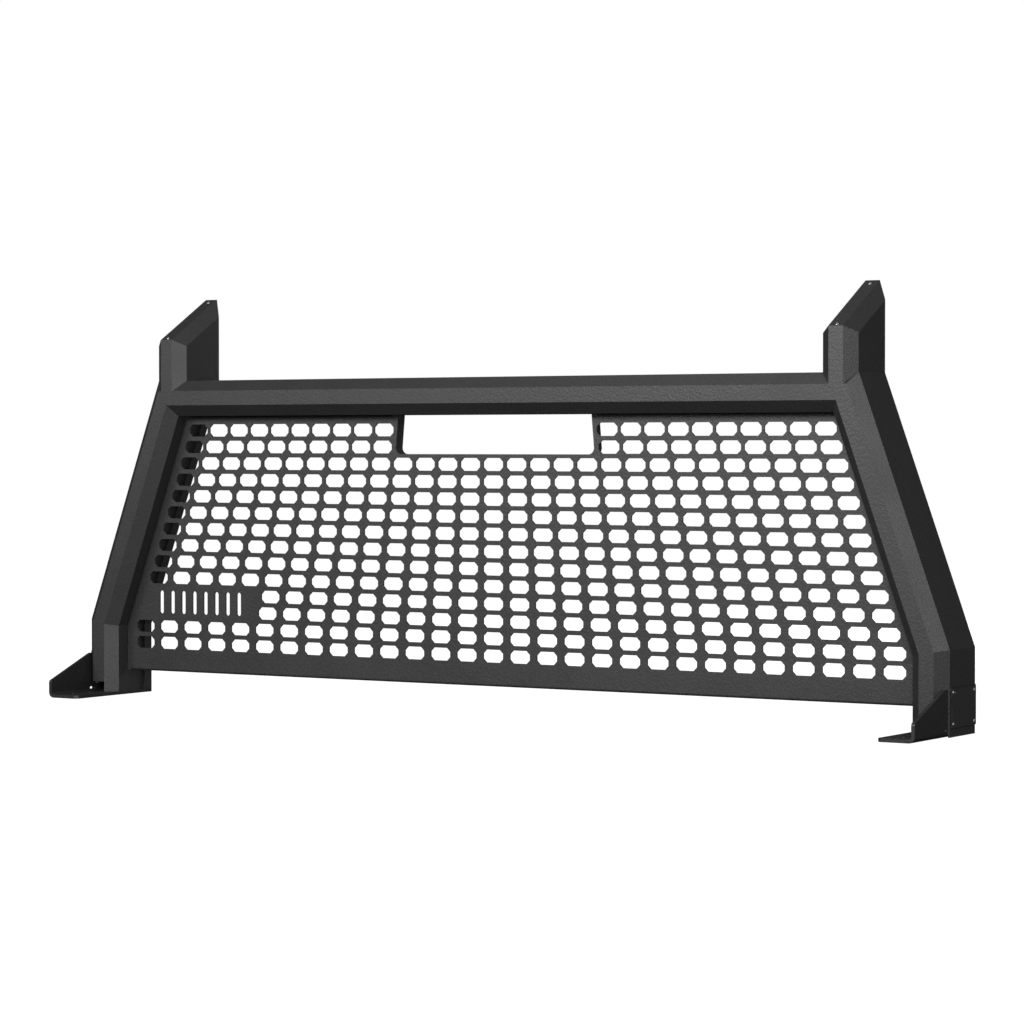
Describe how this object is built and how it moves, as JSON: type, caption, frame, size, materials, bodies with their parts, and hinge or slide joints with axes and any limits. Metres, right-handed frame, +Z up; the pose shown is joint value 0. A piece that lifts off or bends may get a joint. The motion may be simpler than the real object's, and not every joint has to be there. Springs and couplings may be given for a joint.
{
  "type": "truck headache rack",
  "caption": "Headache rack for a pick-up bed: bent tube towers, a crossbar, a perforated panel with a brake light window and plate feet.",
  "frame": {"origin": "middle of the rack's bounding box at the level of the bed rails, which the feet stand on", "axes": "+X across the truck to its right-hand side, +Y forward to the cab, -Y to the tailgate, +Z up"},
  "size_m": [1.7284, 0.2402, 0.7221],
  "materials": {
    "tube_coat": "fine-textured matt black powder coat on steel tube",
    "panel_coat": "fine-textured matt black powder coat on steel sheet",
    "bracket_coat": "satin black powder coat on steel plate",
    "black_screws": "black zinc on steel screws",
    "zinc_nuts": "clear zinc on steel nuts",
    "rubber_gasket": "matt black rubber sheet"
  },
  "bodies": {
    "root": {"crossbar": "tube_coat", "upper_post_left": "tube_coat", "upper_post_right": "tube_coat", "slanted_leg_left": "tube_coat", "slanted_leg_right": "tube_coat", "lower_post_left": "tube_coat", "lower_post_right": "tube_coat", "top_cap_left": "tube_coat", "top_cap_right": "tube_coat", "cap_strap_left": "tube_coat", "cap_strap_right": "tube_coat", "cap_screws_left": "black_screws", "cap_screws_right": "black_screws", "perforated_panel": "panel_coat", "panel_screws_left": "black_screws", "panel_screws_right": "black_screws", "panel_screws_top": "black_screws", "rivet_nuts_left": "zinc_nuts", "rivet_nuts_right": "zinc_nuts", "rivet_nuts_top": "zinc_nuts", "foot_bracket_left": "bracket_coat", "foot_bracket_right": "bracket_coat", "cover_gasket_left": "rubber_gasket", "cover_gasket_right": "rubber_gasket", "side_cover_left": "tube_coat", "side_cover_right": "tube_coat", "cover_screws_left": "black_screws", "cover_screws_right": "black_screws", "cover_nuts_left": "zinc_nuts", "cover_nuts_right": "zinc_nuts"}
  },
  "joints": []
}
